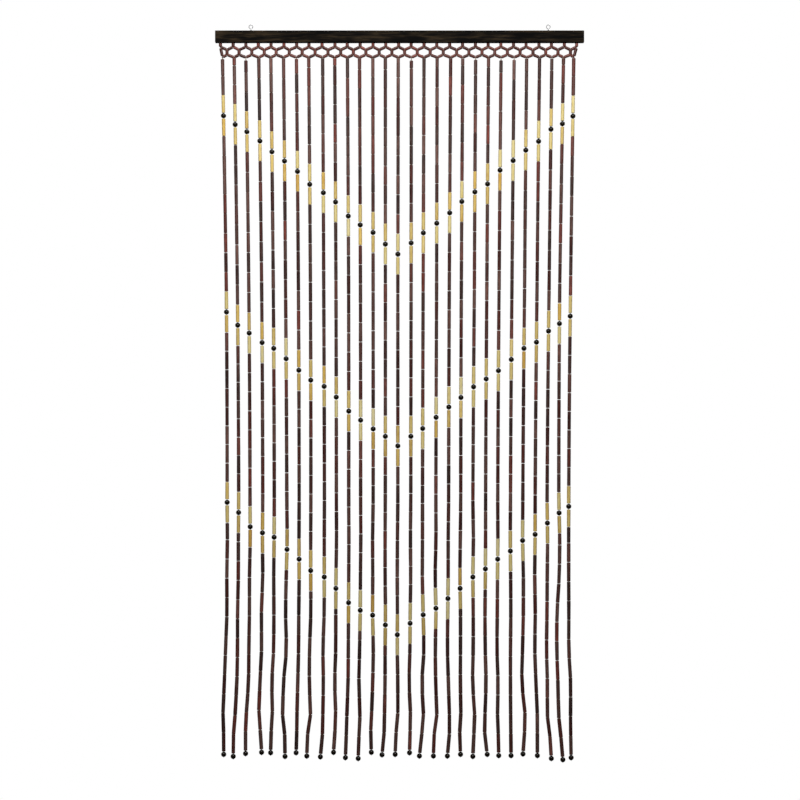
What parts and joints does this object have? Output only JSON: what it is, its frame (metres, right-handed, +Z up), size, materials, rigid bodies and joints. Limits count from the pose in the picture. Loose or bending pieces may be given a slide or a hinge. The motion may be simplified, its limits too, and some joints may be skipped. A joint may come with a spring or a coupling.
{
  "type": "bead curtain with rail",
  "caption": "Hanging doorway curtain of bamboo tube strands with round beads in nested V rows, threaded in a net under a flat dark wooden rail with screw eyes.",
  "frame": {"origin": "midway between the centres of the two screw eyes' rings, from which the curtain hangs", "axes": "+Z up, +X along the rail to the right of someone who looks at the front, +Y to the back"},
  "size_m": [0.9, 0.015, 1.8004],
  "materials": {
    "rail_wood": "dark stained, satin",
    "brown_bamboo": "stained dark reddish brown, semi-gloss lacquer",
    "natural_bamboo": "pale natural, semi-gloss lacquer",
    "black_bead": "black, gloss lacquer",
    "string": "waxed thread",
    "bright_steel": "zinc plated"
  },
  "bodies": {
    "root": {"rail": "rail_wood", "bead_net": "brown_bamboo", "eye_left": "bright_steel", "eye_right": "bright_steel"}
  },
  "joints": []
}
